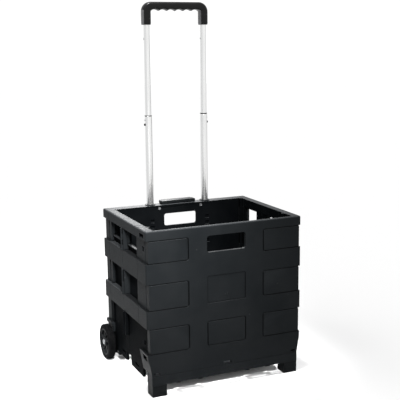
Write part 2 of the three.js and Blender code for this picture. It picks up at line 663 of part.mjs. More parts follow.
// The pins of one side's hinges.
function pins(side) {
  const { x, rearY, frontY, pinRadius } = HINGE;
  const span = [SKIRT[1] + 3, RIM[1] - 2];
  return {
    rear_hinge_pin: bar("z", [side * x, rearY], pinRadius, [BRACKET.top + 3, span[1]]),
    front_hinge_pin: bar("z", [side * x, frontY], pinRadius, span),
    floor_hinge_pin: bar(
      "x",
      [FLOOR_HINGE.y, FLOOR_HINGE.z],
      FLOOR_HINGE.pinRadius,
      mirrored(side, FLOOR_PIN),
      8,
    ),
  };
}

// The middle hinge has a short pin in each row.
function midPins(side) {
  const axis = [side * MID_HINGE.x, HINGE.midY];
  const names = ["top", "centre", "bottom"];
  return ROWS.map((row, index) => [
    `mid_hinge_pin_${names[index]}`,
    bar("z", axis, MID_HINGE.pinRadius, grow(row, -1), 8),
  ]);
}

// The rings at the top of the outer and middle tubes.
function rimBush(side) {
  return collar(side, STAGES.middle.radius + PIN_GAP, 14, [RIM[1] + PIN_GAP, RIM[1] + 2.5]);
}

function stageCollar(side) {
  const { radius, z } = STAGES.middle;
  return collar(side, STAGES.upper.radius + PIN_GAP, radius, [z[1] + PIN_GAP, z[1] + 2.3]);
}

function frontFoot(side) {
  const y = [FRONT_Y, FRONT_Y + FOOT.length];
  return sideBlock(side, [FOOT.inner, FOOT.outer], y, [0, PANEL_BOTTOM - PIN_GAP]);
}

for (const [word, side] of SIDES) {
  place(`side_rear_${word}`, sideRear(side), crateBlack());
  place(`side_front_${word}`, sideFront(side), crateBlack());
  place(`front_foot_${word}`, frontFoot(side), deepBlack());
  place(`wheel_bracket_${word}`, wheelBracket(side), deepBlack());
  place(`wheel_tyre_${word}`, tyre(side), rubberBlack());
  place(`wheel_hub_${word}`, hub(side), deepBlack());
  place(`axle_cap_${word}`, axleCap(side), zincSteel());
  for (const [name, shape] of [...Object.entries(pins(side)), ...midPins(side)]) {
    place(`${name}_${word}`, shape, zincSteel());
  }
  place(`tube_screw_${word}`, tubeScrew(side), zincSteel());
  place(`tube_strap_${word}`, sideBlock(side, STRAP.x, STRAP.y, STRAP.z), zincSteel());
  place(`outer_tube_${word}`, tube(side, STAGES.outer), aluminium());
  place(`middle_tube_${word}`, middleTube(side), aluminium());
  place(`upper_tube_${word}`, upperTube(side), aluminium());
  place(`rim_bush_${word}`, rimBush(side), deepBlack());
  place(`stage_collar_${word}`, stageCollar(side), deepBlack());
  place(`snap_button_${word}`, snapButton(side), glossBlack());
  place(`stage_rivet_${word}`, stageRivet(side), zincSteel());
}

export default trolley;
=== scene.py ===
"""The looks of a folding crate trolley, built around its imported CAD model. Lengths are in metres."""
import json
import math

import bmesh
import bpy
from mathutils import Matrix, Vector


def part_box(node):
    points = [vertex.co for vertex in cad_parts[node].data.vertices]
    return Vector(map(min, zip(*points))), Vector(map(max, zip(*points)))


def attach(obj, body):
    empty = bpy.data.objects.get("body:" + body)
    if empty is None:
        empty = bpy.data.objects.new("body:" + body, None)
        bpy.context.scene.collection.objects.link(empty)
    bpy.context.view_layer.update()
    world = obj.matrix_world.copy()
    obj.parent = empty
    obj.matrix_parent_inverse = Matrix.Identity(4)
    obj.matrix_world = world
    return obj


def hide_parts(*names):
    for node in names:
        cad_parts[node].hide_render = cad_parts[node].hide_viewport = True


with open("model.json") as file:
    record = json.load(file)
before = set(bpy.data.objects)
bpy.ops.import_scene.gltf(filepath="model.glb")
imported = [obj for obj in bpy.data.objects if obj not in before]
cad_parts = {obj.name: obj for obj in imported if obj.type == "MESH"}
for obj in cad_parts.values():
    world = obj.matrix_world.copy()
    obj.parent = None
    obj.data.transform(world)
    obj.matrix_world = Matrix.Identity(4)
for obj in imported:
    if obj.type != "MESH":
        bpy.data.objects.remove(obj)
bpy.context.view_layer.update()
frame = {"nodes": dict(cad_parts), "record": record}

MM = 0.001
SIDES = (("left", -1), ("right", 1))
BODY_OF = {
    node: body
    for body, nodes in frame["record"]["behaviour"]["bodies"].items()
    for node in nodes
}

# ------------------------------------------------------------------ sizes read from the frame
FRONT_LOW, FRONT_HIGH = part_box("front_panel")
BACK_LOW, BACK_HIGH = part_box("back_panel")
RIM_TOP = FRONT_HIGH.z
RIM_HEIGHT = 23 * MM
HALF_WIDTH = FRONT_HIGH.x
FACE_Y = FRONT_LOW.y
BACK_WALL = BACK_HIGH.y - 27 * MM  # rear face of the back panel's wall


# ------------------------------------------------------------------ mesh helpers
def link(name, bm, material, smooth=35):
    """Makes an object from bm, smooth shaded except where it turns by more than smooth degrees."""
    bmesh.ops.recalc_face_normals(bm, faces=bm.faces)
    mesh = bpy.data.meshes.new(name)
    bm.to_mesh(mesh)
    bm.free()
    mesh.shade_smooth()
    mesh.set_sharp_from_angle(angle=math.radians(smooth))
    mesh.materials.append(material)
    obj = bpy.data.objects.new(name, mesh)
    bpy.context.scene.collection.objects.link(obj)
    return obj


def piece(name, bm, material, body, replaced=(), smooth=35):
    """A piece of the object, which rides on a body and stands for the CAD nodes in replaced."""
    obj = link(name, bm, material, smooth)
    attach(obj, body)
    if replaced:
        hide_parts(*replaced)
    return obj


def add_block(bm, low, high, radius, segments=2):
    """A block with rounded edges, between two corners."""
    low, high = Vector(low), Vector(high)
    size = high - low
    place = Matrix.Translation((low + high) / 2) @ Matrix.Diagonal((*size, 1))
    made = bmesh.ops.create_cube(bm, size=1, matrix=place)
    edges = {edge for vert in made["verts"] for edge in vert.link_edges}
    width = min(radius, min(size) * 0.45)
    bmesh.ops.bevel(
        bm, geom=list(edges), offset=width, segments=segments, profile=0.5, affect="EDGES"
    )


def add_revolved(bm, profile, centre, axis, sides=48):
    """Turns a closed outline of (radius, along) pairs about an axis through centre."""
    turn = {
        "x": Matrix.Rotation(math.pi / 2, 4, "Y"),
        "y": Matrix.Rotation(-math.pi / 2, 4, "X"),
        "z": Matrix.Identity(4),
    }
    place = Matrix.Translation(centre) @ turn[axis]
    rings = []
    for step in range(sides):
        angle = 2 * math.pi * step / sides
        points = [
            place @ Vector((radius * math.cos(angle), radius * math.sin(angle), along))
            for radius, along in profile
        ]
        rings.append([bm.verts.new(point) for point in points])
    count = len(profile)
    for step in range(sides):
        here, there = rings[step], rings[(step + 1) % sides]
        for index in range(count):
            following = (index + 1) % count
            bm.faces.new((here[index], there[index], there[following], here[following]))


def add_revolved_solid(bm, profile, centre, axis, sides=32):
    """Turns an outline that starts and ends on the axis, and merges the points that meet there."""
    start = len(bm.verts)
    near_axis = 0.01 * MM
    outline = [(max(radius, near_axis), along) for radius, along in profile]
    add_revolved(bm, outline, centre, axis, sides)
    bm.verts.ensure_lookup_table()
    bmesh.ops.remove_doubles(bm, verts=bm.verts[start:], dist=3 * near_axis)


def rounded(low, high, radius, wall, bevel):
    """The closed outline of a tube's wall, from low to high, with rounded mouths."""
    inner = radius - wall
    return [
        (inner, low),
        (radius - bevel, low),
        (radius, low + bevel),
        (radius, high - bevel),
        (radius - bevel, high),
        (inner, high),
    ]


def sweep(bm, rings):
    """Joins rings of points into a skin, with a cap on each end."""
    made = [[bm.verts.new(point) for point in ring] for ring in rings]
    count = len(made[0])
    for here, there in zip(made, made[1:]):
        for index in range(count):
            following = (index + 1) % count
            bm.faces.new((here[index], here[following], there[following], there[index]))
    bm.faces.new(made[0])
    bm.faces.new(made[-1])


def cut_hole(obj, centre, radius, length):
    """Drills a round hole in obj, along X."""
    bm = bmesh.new()
    spin = Matrix.Rotation(math.pi / 2, 4, "Y")
    bmesh.ops.create_cone(
        bm,
        cap_ends=True,
        segments=24,
        radius1=radius,
        radius2=radius,
        depth=length,
        matrix=Matrix.Translation(centre) @ spin,
    )
    mesh = bpy.data.meshes.new("drill")
    bm.to_mesh(mesh)
    bm.free()
    drill = bpy.data.objects.new("drill", mesh)
    bpy.context.scene.collection.objects.link(drill)
    change = obj.modifiers.new("hole", "BOOLEAN")
    change.object = drill
    change.operation = "DIFFERENCE"
    change.solver = "EXACT"
    apply_modifiers(obj)
    bpy.data.objects.remove(drill)


def apply_modifiers(obj):
    """Gives obj the mesh that its modifiers make, and clears them."""
    graph = bpy.context.evaluated_depsgraph_get()
    graph.update()
    made = bpy.data.meshes.new_from_object(obj.evaluated_get(graph), depsgraph=graph)
    obj.modifiers.clear()
    obj.data = made


# ------------------------------------------------------------------ materials
class Nodes:
    """Builds a material's node tree."""

    def __init__(self, name, slot):
        self.material = bpy.data.materials.new(name)
        self.material["slot"] = slot
        self.material.use_nodes = True
        self.tree = self.material.node_tree
        self.shader = self.tree.nodes["Principled BSDF"]
        self.coordinates = self.tree.nodes.new("ShaderNodeTexCoord")
        self.place = self.coordinates.outputs["Object"]

    def add(self, kind, **settings):
        node = self.tree.nodes.new(kind)
        for key, value in settings.items():
            setattr(node, key, value)
        return node

    def wire(self, source, target):
        self.tree.links.new(source, target)

    def noise(self, scale, detail=3.0, roughness=0.5, stretch=None):
        node = self.add("ShaderNodeTexNoise")
        node.inputs["Scale"].default_value = scale
        node.inputs["Detail"].default_value = detail
        node.inputs["Roughness"].default_value = roughness
        source = self.place
        if stretch:
            mapping = self.add("ShaderNodeMapping")
            mapping.inputs["Scale"].default_value = stretch
            self.wire(source, mapping.inputs["Vector"])
            source = mapping.outputs["Vector"]
        self.wire(source, node.inputs["Vector"])
        return node.outputs["Fac"]

    def spread(self, value, low, high, start=0.0, end=1.0):
        node = self.add("ShaderNodeMapRange")
        node.inputs["From Min"].default_value = start
        node.inputs["From Max"].default_value = end
        node.inputs["To Min"].default_value = low
        node.inputs["To Max"].default_value = high
        self.wire(value, node.inputs["Value"])
        return node.outputs["Result"]

    def mix(self, amount, first, second):
        node = self.add("ShaderNodeMix", data_type="RGBA")
        self.wire(amount, node.inputs["Factor"])
        for socket, colour in ((node.inputs["A"], first), (node.inputs["B"], second)):
            if isinstance(colour, tuple):
                socket.default_value = (*colour, 1)
            else:
                self.wire(colour, socket)
        return node.outputs["Result"]

    def specks(self, scale, size):
        """1 on small, sparse dots and 0 elsewhere."""
        node = self.add("ShaderNodeTexVoronoi")
        node.inputs["Scale"].default_value = scale
        self.wire(self.place, node.inputs["Vector"])
        return self.spread(node.outputs["Distance"], 1.0, 0.0, size * 0.5, size)

    def bump(self, height, strength, distance, normal=None):
        node = self.add("ShaderNodeBump")
        node.inputs["Strength"].default_value = strength
        node.inputs["Distance"].default_value = distance
        self.wire(height, node.inputs["Height"])
        if normal is not None:
            self.wire(normal, node.inputs["Normal"])
        return node.outputs["Normal"]

    def soft_edges(self, radius):
        """The surface's normal, rounded off at edges."""
        node = self.add("ShaderNodeBevel", samples=4)
        node.inputs["Radius"].default_value = radius
        return node.outputs["Normal"]

    def facing(self, direction, start, end, normal=None):
        """0 to 1 as the surface turns to face a fixed direction of the object."""
        node = self.add("ShaderNodeVectorMath", operation="DOT_PRODUCT")
        self.wire(normal or self.coordinates.outputs["Normal"], node.inputs[0])
        node.inputs[1].default_value = direction
        return self.spread(node.outputs["Value"], 0.0, 1.0, start, end)

    def crevices(self, reach, start, end):
        """1 in grooves and corners narrower than reach, and 0 on open faces; the mask for painted
        shade.
        """
        node = self.add("ShaderNodeAmbientOcclusion", samples=6, only_local=True)
        node.inputs["Distance"].default_value = reach
        return self.spread(node.outputs["AO"], 1.0, 0.0, start, end)


def moulded(name, slot, dark, light, wear_and_highlight, roughness, specular, grain=0.25):
    """Moulded plastic: a fine spark-eroded grain, cloudy tone and dust specks, with painted shade in
    grooves and corners and a painted highlight on upward faces and edges.
    """
    nodes = Nodes(name, slot)
    shader = nodes.shader
    shader.inputs["Specular IOR Level"].default_value = specular
    clouds = nodes.noise(9, 4, 0.6)
    mottle = nodes.noise(420, 3, 0.6)
    tone = nodes.mix(nodes.spread(clouds, 0, 1, 0.35, 0.65), dark, light)
    fine = nodes.mix(nodes.spread(mottle, 0, 0.4, 0.35, 0.7), tone, light)
    dusty = nodes.mix(nodes.specks(26, 0.03), fine, (0.04, 0.041, 0.042))
    # painted shade: a near-black colour in grooves and corners, masked by ambient occlusion
    painted_crease_shade = nodes.mix(nodes.crevices(6 * MM, 0.55, 0.97), dusty, (0.0006, 0.0007, 0.0008))
    rounded_off = nodes.soft_edges(1.1 * MM)
    # painted highlight: a lighter colour on upward faces and on edges that turn upwards
    painted_top_highlight = nodes.mix(nodes.facing((0, 0, 1), 0.25, 0.8, rounded_off), painted_crease_shade, wear_and_highlight)
    nodes.wire(painted_top_highlight, shader.inputs["Base Color"])
    matt = nodes.spread(mottle, roughness - 0.06, roughness + 0.08, 0.3, 0.7)
    nodes.wire(matt, shader.inputs["Roughness"])
    skin = nodes.noise(1500, 2, 0.6)
    nodes.wire(nodes.bump(skin, grain, 0.12 * MM, rounded_off), shader.inputs["Normal"])
    return nodes.material


def glossy_plastic(name, slot, colour, wear_and_highlight, roughness):
    """A polished moulding with faint scuffs and finger marks."""
    nodes = Nodes(name, slot)
    shader = nodes.shader
    shader.inputs["Specular IOR Level"].default_value = 0.2
    scuffs = nodes.noise(60, 6, 0.65, stretch=(1, 1, 4))
    smears = nodes.noise(24, 3, 0.5)
    tone = nodes.mix(nodes.spread(scuffs, 0, 1, 0.55, 0.8), colour, wear_and_highlight)
    nodes.wire(tone, shader.inputs["Base Color"])
    matt = nodes.spread(smears, roughness - 0.06, roughness + 0.12, 0.3, 0.7)
    nodes.wire(matt, shader.inputs["Roughness"])
    nodes.wire(nodes.bump(scuffs, 0.08, 0.1 * MM), shader.inputs["Normal"])
    return nodes.material


def metal(name, slot, bright, dull, roughness):
    """Plated steel, with fine scratches all over it."""
    nodes = Nodes(name, slot)
    shader = nodes.shader
    shader.inputs["Metallic"].default_value = 1.0
    scratches = nodes.noise(300, 4, 0.6)
    patches = nodes.noise(18, 3, 0.5)
    tone = nodes.mix(nodes.spread(patches, 0, 1, 0.35, 0.75), bright, dull)
    nodes.wire(tone, shader.inputs["Base Color"])
    matt = nodes.spread(scratches, roughness - 0.05, roughness + 0.1, 0.3, 0.7)
    nodes.wire(matt, shader.inputs["Roughness"])
    nodes.wire(nodes.bump(scratches, 0.06, 0.05 * MM), shader.inputs["Normal"])
    return nodes.material


def drawn_tube(name, slot, bright, dull, dark_reflection):
    """Drawn aluminium: fine lines along the tube, with a painted reflection in two stripes down it: a
    duller band on the side that faces -X and -Y, and a dark line on the side that faces +X and -Y.
    """
    nodes = Nodes(name, slot)
    shader = nodes.shader
    shader.inputs["Metallic"].default_value = 1.0
    lines = nodes.noise(900, 4, 0.6, stretch=(1, 1, 0.02))
    clouds = nodes.noise(12, 3, 0.5)
    # painted reflection: the duller band and the dark line keep to fixed sides of the tube
    reflection_band = nodes.facing((-0.78, -0.62, 0), 0.80, 1.0)
    with_reflection_band = nodes.mix(reflection_band, bright, dull)
    line = nodes.facing((0.83, -0.56, 0), 0.93, 0.985)
    with_dark_reflection = nodes.mix(line, with_reflection_band, dark_reflection)
    brushed = nodes.mix(nodes.spread(lines, 0, 0.35, 0.45, 0.75), with_dark_reflection, dull)
    nodes.wire(nodes.mix(nodes.spread(clouds, 0, 0.3, 0.4, 0.7), brushed, dull),
               shader.inputs["Base Color"])
    nodes.wire(nodes.spread(lines, 0.18, 0.32, 0.3, 0.7), shader.inputs["Roughness"])
    nodes.wire(nodes.bump(lines, 0.05, 0.05 * MM), shader.inputs["Normal"])
    return nodes.material


def rubber(name, slot, dark, light):
    """Tyre rubber, dusty where it has rolled."""
    nodes = Nodes(name, slot)
    shader = nodes.shader
    shader.inputs["Specular IOR Level"].default_value = 0.008
    dust = nodes.noise(90, 5, 0.65)
    tone = nodes.mix(nodes.spread(dust, 0, 1, 0.45, 0.8), dark, light)
    nodes.wire(tone, shader.inputs["Base Color"])
    nodes.wire(nodes.spread(dust, 0.6, 0.85, 0.3, 0.7), shader.inputs["Roughness"])
    skin = nodes.noise(900, 3, 0.6)
    nodes.wire(nodes.bump(skin, 0.3, 0.15 * MM), shader.inputs["Normal"])
    return nodes.material


# In each moulded plastic, the colour after light is the painted highlight on upward faces and edges.
CRATE = moulded(
    "crate_plastic",
    "crate_black",
    dark=(0.0052, 0.0062, 0.0070),
    light=(0.0082, 0.0092, 0.0100),
    wear_and_highlight=(0.021, 0.0225, 0.0240),
    roughness=0.50,
    specular=0.03,
)
DEEP = moulded(
    "fitting_plastic",
    "deep_black",
    dark=(0.0030, 0.0036, 0.0040),
    light=(0.0055, 0.0062, 0.0067),
    wear_and_highlight=(0.012, 0.013, 0.0135),
    roughness=0.46,
    specular=0.03,
    grain=0.15,
)
# A darker copy of the crate plastic: painted shade on inner faces, in the side recesses, on the sides
# below the lowest row and on the plates behind the back panel's slots.
SHADED_INSIDE = moulded(
    "inside_plastic",
    "crate_black",
    dark=(0.0010, 0.0013, 0.0016),
    light=(0.0026, 0.0030, 0.0034),
    wear_and_highlight=(0.007, 0.0075, 0.008),
    roughness=0.65,
    specular=0.006,
    grain=0.35,
)
GLOSS = glossy_plastic(
    "grip_plastic", "gloss_black", (0.0025, 0.0025, 0.0028), (0.008, 0.008, 0.009), 0.28
)
# A light grey for the sides of the grip's legs: a painted reflection on the glossy black moulding.
GRIP_REFLECTION = glossy_plastic(
    "grip_side", "gloss_black", (0.105, 0.105, 0.109), (0.150, 0.150, 0.154), 0.34
)
TYRE = rubber("tyre_rubber", "tyre_black", (0.0020, 0.0021, 0.0023), (0.006, 0.006, 0.006))
# The last colour is the painted dark reflection down the tubes.
ALUMINIUM = drawn_tube(
    "drawn_aluminium", "tube_aluminium", (0.84, 0.84, 0.835), (0.66, 0.665, 0.665),
    (0.12, 0.12, 0.125),
)
ZINC = metal("zinc_plate", "zinc_steel", (0.55, 0.56, 0.57), (0.36, 0.37, 0.39), 0.3)
CAP_STEEL = metal("cap_steel", "zinc_steel", (0.30, 0.31, 0.32), (0.16, 0.165, 0.17), 0.4)

CAD_FINISH = {
    "back_panel": CRATE,
    "front_panel": CRATE,
    "floor_panel": CRATE,
    "rear_carry_grip": DEEP,
    "axle": ZINC,
}
for word, _ in SIDES:
    CAD_FINISH[f"side_rear_{word}"] = CRATE
    CAD_FINISH[f"side_front_{word}"] = CRATE
    CAD_FINISH[f"front_foot_{word}"] = DEEP
    CAD_FINISH[f"wheel_bracket_{word}"] = DEEP
    pins = ["rear_hinge_pin", "front_hinge_pin", "floor_hinge_pin"]
    pins += [f"mid_hinge_pin_{level}" for level in ("top", "centre", "bottom")]
    for pin in pins:
        CAD_FINISH[f"{pin}_{word}"] = ZINC
    CAD_FINISH[f"tube_strap_{word}"] = ZINC
    CAD_FINISH[f"tube_screw_{word}"] = ZINC
for node, look in CAD_FINISH.items():
    for material_slot in frame["nodes"][node].material_slots:
        material_slot.material = look


# ------------------------------------------------------------------ crate panels
def rim_edges(bm):
    """The outer edges along the top of a panel's rim."""
    bmesh.ops.remove_doubles(bm, verts=bm.verts, dist=0.005 * MM)
    bmesh.ops.dissolve_limit(
        bm, angle_limit=math.radians(0.5), verts=bm.verts[:], edges=bm.edges[:]
    )
    edges = []
    for edge in bm.edges:
        if len(edge.link_faces) != 2 or not edge.is_convex:
            continue
        middle = (edge.verts[0].co + edge.verts[1].co) / 2
        normals = sorted((face.normal for face in edge.link_faces), key=lambda one: abs(one.z))
        upright, level = normals
        if middle.z < RIM_TOP - 0.1 * MM or abs(level.z) < 0.99 or abs(upright.z) > 0.05:
            continue
        sideways = upright.x * middle.x > 0
        endways = abs(upright.y) > 0.3 and upright.y * middle.y > 0
        at_skin = abs(middle.x) > HALF_WIDTH - 7 * MM or middle.y < FACE_Y + 0.1 * MM
        at_skin = at_skin or middle.y > BACK_HIGH.y - 0.1 * MM
        if (sideways or endways) and at_skin:
            edges.append(edge)
    return edges


SIDE_SKIN_X = HALF_WIDTH - 14 * MM  # faces of the sides nearer the middle are in a recess or inside
LOWEST_ROW_TOP = RIM_TOP - 239 * MM
CORNER_X = HALF_WIDTH - 10 * MM  # where the front and back panels turn the corner


def takes_painted_shade(node, face):
    """Whether a face of a crate panel takes painted shade: an inner face, a face in the recesses of
    the sides, or a face of a side below its lowest row.
    """
    middle = face.calc_center_median()
    if node.startswith("side"):
        return abs(middle.x) < SIDE_SKIN_X or middle.z < LOWEST_ROW_TOP
    if node == "front_panel":
        return middle.y > FACE_Y + 7 * MM and abs(middle.x) < CORNER_X
    return middle.y < BACK_WALL - 4 * MM and abs(middle.x) < CORNER_X


def crate_panels():
    """Copies of the CAD panels with a rounded outer edge on the rim, and painted shade, a darker copy
    of the plastic, on inner faces, in the side recesses and on the sides below the lowest row.
    """
    names = ["front_panel", "back_panel"]
    names += [f"side_{end}_{word}" for word, _ in SIDES for end in ("rear", "front")]
    for node in names:
        bm = bmesh.new()
        bm.from_mesh(frame["nodes"][node].data)
        edges = rim_edges(bm)
        if edges:
            bmesh.ops.bevel(
                bm, geom=edges, offset=3.6 * MM, segments=5, profile=0.5, affect="EDGES"
            )
        for face in bm.faces:
            below_rim = face.calc_center_median().z < RIM_TOP - 1 * MM
            # inner and recessed faces get the painted-shade copy of the plastic
            face.material_index = int(below_rim and takes_painted_shade(node, face))
        shell = piece(f"{node}_shell", bm, CRATE, BODY_OF[node], [node], smooth=28)
        shell.data.materials.append(SHADED_INSIDE)


crate_panels()


# ------------------------------------------------------------------ details of the front face
def gate_mark():
    """The round gate mark and the slanted nub that the moulding left in the plain recess."""
    bm = bmesh.new()
    floor_y = FACE_Y + 1.5 * MM
    low = RIM_TOP - 186 * MM
    profile = [(9 * MM, 0), (9 * MM, 0.35 * MM), (7.6 * MM, 0.5 * MM), (6.8 * MM, 0.2 * MM)]
    profile += [(6.8 * MM, -0.3 * MM), (9 * MM, -0.3 * MM)]
    add_revolved(bm, profile, Vector((2 * MM, floor_y, low + 4 * MM)), "y")
    nub = [(0, 0), (2.4 * MM, 0), (2.2 * MM, 0.9 * MM), (1.2 * MM, 1.4 * MM), (0, 1.5 * MM)]
    mirrored = [(radius, -along) for radius, along in nub]
    add_revolved_solid(bm, mirrored, Vector((3 * MM, floor_y + 0.2 * MM, low + 7 * MM)), "y")
    piece("gate_mark", bm, CRATE, BODY_OF["front_panel"])


gate_mark()


# ------------------------------------------------------------------ details of the sides
WINDOWS = {"rear": (30 * MM, 98 * MM), "front": (-92 * MM, -20 * MM)}
WINDOW_Z = (RIM_TOP - 63 * MM, RIM_TOP - 26 * MM)


def window_frame(word, side, end):
    """The raised lip round the hand window of one half of a side."""
    bm = bmesh.new()
    window = WINDOWS[end]
    lip = 1.8 * MM
    reach = sorted((side * (HALF_WIDTH - 17 * MM), side * (HALF_WIDTH - 9 * MM)))
    for z in (WINDOW_Z[0] - lip, WINDOW_Z[1]):
        add_block(
            bm,
            (reach[0], window[0] - lip, z),
            (reach[1], window[1] + lip, z + lip),
            0.5 * MM,
        )
    for y in (window[0] - lip, window[1]):
        add_block(
            bm,
            (reach[0], y, WINDOW_Z[0] - lip),
            (reach[1], y + lip, WINDOW_Z[1] + lip),
            0.5 * MM,
        )
    piece(f"window_frame_{end}_{word}", bm, CRATE, BODY_OF[f"side_{end}_{word}"])


for word, side in SIDES:
    for end in ("rear", "front"):
        window_frame(word, side, end)


# ------------------------------------------------------------------ back of the crate
def back_ribs():
    """The grid of ribs on the outside of the back panel, between the tube channels."""
    bm = bmesh.new()
    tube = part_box("outer_tube_left")
    inner = abs(tube[1].x) - 4 * MM
    outer = abs(tube[0].x) + 4 * MM
    edge = 187 * MM
    depth = (BACK_WALL - 1 * MM, BACK_HIGH.y - 6 * MM)
    for step in range(5):
        z = BACK_LOW.z + (60 + 62 * step) * MM
        for x in ((-inner + 3 * MM, inner - 3 * MM), (outer, edge), (-edge, -outer)):
            # the top rib stays clear of the hand window
            if step == 4 and x[0] < 0 < x[1]:
                continue
            add_block(bm, (x[0], depth[0], z), (x[1], depth[1], z + 2.4 * MM), 0.7 * MM)
    for _, side in SIDES:
        x = side * 142 * MM
        low = (x - 1.2 * MM, depth[0], BACK_LOW.z + 30 * MM)
        add_block(bm, low, (x + 1.2 * MM, depth[1], RIM_TOP - RIM_HEIGHT), 0.7 * MM)
    piece("back_ribs", bm, CRATE, BODY_OF["back_panel"])
    # plates behind the ladders of slots, in front of the tubes, in the painted-shade plastic: a dark
    # sheet that makes the slots look shaded
    bm = bmesh.new()
    for _, side in SIDES:
        reach = sorted((side * (inner + 2 * MM), side * (outer - 2 * MM)))
        add_block(
            bm,
            (reach[0], BACK_WALL + 0.2 * MM, RIM_TOP - 122 * MM),
            (reach[1], BACK_WALL + 1.5 * MM, RIM_TOP - 27 * MM),
            0.4 * MM,
        )
    piece("ladder_shade_plates", bm, SHADED_INSIDE, BODY_OF["back_panel"])


back_ribs()


# ------------------------------------------------------------------ floor
def floor_ribs():
    """Low anti-slip ribs across the top of the floor."""
    bm = bmesh.new()
    low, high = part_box("floor_panel")
    top = low.z + 8.2 * MM
    half = 150 * MM
    for column in range(-4, 5):
        x = column * 34 * MM
        add_block(
            bm,
            (x - 1.5 * MM, low.y + 30 * MM, top - 2 * MM),
            (x + 1.5 * MM, high.y - 14 * MM, top + 0.6 * MM),
            0.5 * MM,
        )
    for line in range(6):
        y = low.y + (36 + 40 * line) * MM
        add_block(
            bm,
            (-half, y - 1.5 * MM, top - 2 * MM),
            (half, y + 1.5 * MM, top + 0.4 * MM),
            0.5 * MM,
        )
    piece("floor_ribs", bm, CRATE, BODY_OF["floor_panel"])


floor_ribs()


# ------------------------------------------------------------------ handle
def centre_of(node):
    low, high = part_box(node)
    return (low + high) / 2


def handle_tube(node, wall=1.2 * MM):
    """A smooth drawn tube with a rounded mouth."""
    low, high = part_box(node)
    centre = (low + high) / 2
    radius = (high.y - low.y) / 2
    bm = bmesh.new()
    profile = rounded(low.z, high.z, radius, wall, 0.35 * MM)
    add_revolved(bm, profile, Vector((centre.x, centre.y, 0)), "z", 64)
    return piece(f"{node}_drawn", bm, ALUMINIUM, BODY_OF[node], [node])


def handle():
    """The tubes of both sides, with their rings, snap buttons and rivets."""
    for word, side in SIDES:
        handle_tube(f"outer_tube_{word}")
        middle = handle_tube(f"middle_tube_{word}")
        button = centre_of(f"snap_button_{word}")
        cut_hole(middle, button, 3.8 * MM, 8 * MM)
        upper = handle_tube(f"upper_tube_{word}")
        lock = centre_of(f"upper_tube_{word}")
        lock.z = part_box("handle_grip")[0].z - 36 * MM
        cut_hole(upper, lock, 2.3 * MM, 40 * MM)
        for ring, wall in (("rim_bush", 4.2 * MM), ("stage_collar", 1.2 * MM)):
            node = f"{ring}_{word}"
            low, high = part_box(node)
            radius = (high.y - low.y) / 2
            bm = bmesh.new()
            centre = Vector((centre_of(node).x, centre_of(node).y, 0))
            add_revolved(bm, rounded(low.z, high.z, radius, wall, 0.5 * MM), centre, "z", 64)
            piece(f"{node}_ring", bm, DEEP, BODY_OF[node], [node])
        domed(f"snap_button_{word}", side, GLOSS, 0.9)
        domed(f"stage_rivet_{word}", side, ZINC, 0.5)


def domed(node, side, material, crown):
    """A round-headed button or rivet that faces outwards. crown is the share of it that is domed."""
    low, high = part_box(node)
    centre = (low + high) / 2
    radius = (high.z - low.z) / 2
    reach = high.x - low.x
    inner = low.x if side > 0 else high.x
    steps = 6
    dome = min(reach * crown, radius)
    profile = [(0, 0), (radius, 0), (radius, reach - dome)]
    for step in range(1, steps + 1):
        angle = math.pi / 2 * step / steps
        profile.append((radius * math.cos(angle), reach - dome + dome * math.sin(angle)))
    outline = [(around, side * along) for around, along in profile]
    bm = bmesh.new()
    add_revolved_solid(bm, outline, Vector((inner, centre.y, centre.z)), "x")
    piece(f"{node}_dome", bm, material, BODY_OF[node], [node])


GRIP_HALF = 12 * MM  # half the thickness of the grip's bar and legs


def grip_path():
    """Points along the middle of the U grip, each with its outward normal in X and Z."""
    low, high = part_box("handle_grip")
    bend = 13 * MM
    x, top = high.x - GRIP_HALF, high.z - GRIP_HALF
    path = []
    leg = 8
    for step in range(leg):
        z = low.z + (top - bend - low.z) * step / leg
        path.append((-x, z, -1.0, 0.0))
    arc = 10
    for step in range(arc + 1):
        angle = math.pi - math.pi / 2 * step / arc
        path.append((
            -x + bend + bend * math.cos(angle),
            top - bend + bend * math.sin(angle),
            math.cos(angle),
            math.sin(angle),
        ))
    bar = 96
    for step in range(1, bar):
        path.append((-x + bend + 2 * (x - bend) * step / bar, top, 0.0, 1.0))
    mirrored = [(-px, pz, -nx, nz) for px, pz, nx, nz in reversed(path[: leg + arc + 1])]
    return path + mirrored


def grip():
    """The moulded U grip: a rounded section with finger scallops under the bar, and a light grey on
    the sides of its legs, a painted reflection.
    """
    low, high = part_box("handle_grip")
    centre_y = (low.y + high.y) / 2
    across = (high.y - low.y) / 2
    span = 2 * (high.x - 2 * GRIP_HALF)
    pitch = span / 6  # six finger scallops
    sides = 32
    rings = []
    for px, pz, nx, nz in grip_path():
        in_bar = nz > 0.999 and abs(px) < span / 2
        phase = ((px + span / 2) / pitch) % 1.0
        scallop = 4.2 * MM * math.sin(math.pi * phase) ** 0.75 if in_bar else 0.0
        taper = 1.0 if pz > low.z + 1.5 * MM else 0.93
        ring = []
        for step in range(sides):
            angle = 2 * math.pi * step / sides
            out, over = math.cos(angle), math.sin(angle)
            out = math.copysign(abs(out) ** 0.7, out)
            over = math.copysign(abs(over) ** 0.7, over)
            reach = GRIP_HALF * out * taper
            if out < 0:
                reach *= 1 - scallop / GRIP_HALF
            ring.append(Vector((px + nx * reach, centre_y + across * over * taper, pz + nz * reach)))
        rings.append(ring)
    bm = bmesh.new()
    sweep(bm, rings)
    bm.normal_update()
    for face in bm.faces:
        # painted reflection: the leg faces that turn towards the sides get the light grey
        leg = face.calc_center_median().z < high.z - 20 * MM
        face.material_index = int(leg and abs(face.normal.y) < 0.72)
    moulding = piece(
        "grip_moulding", bm, GLOSS, BODY_OF["handle_grip"], ["handle_grip"], smooth=50
    )
    moulding.data.materials.append(GRIP_REFLECTION)


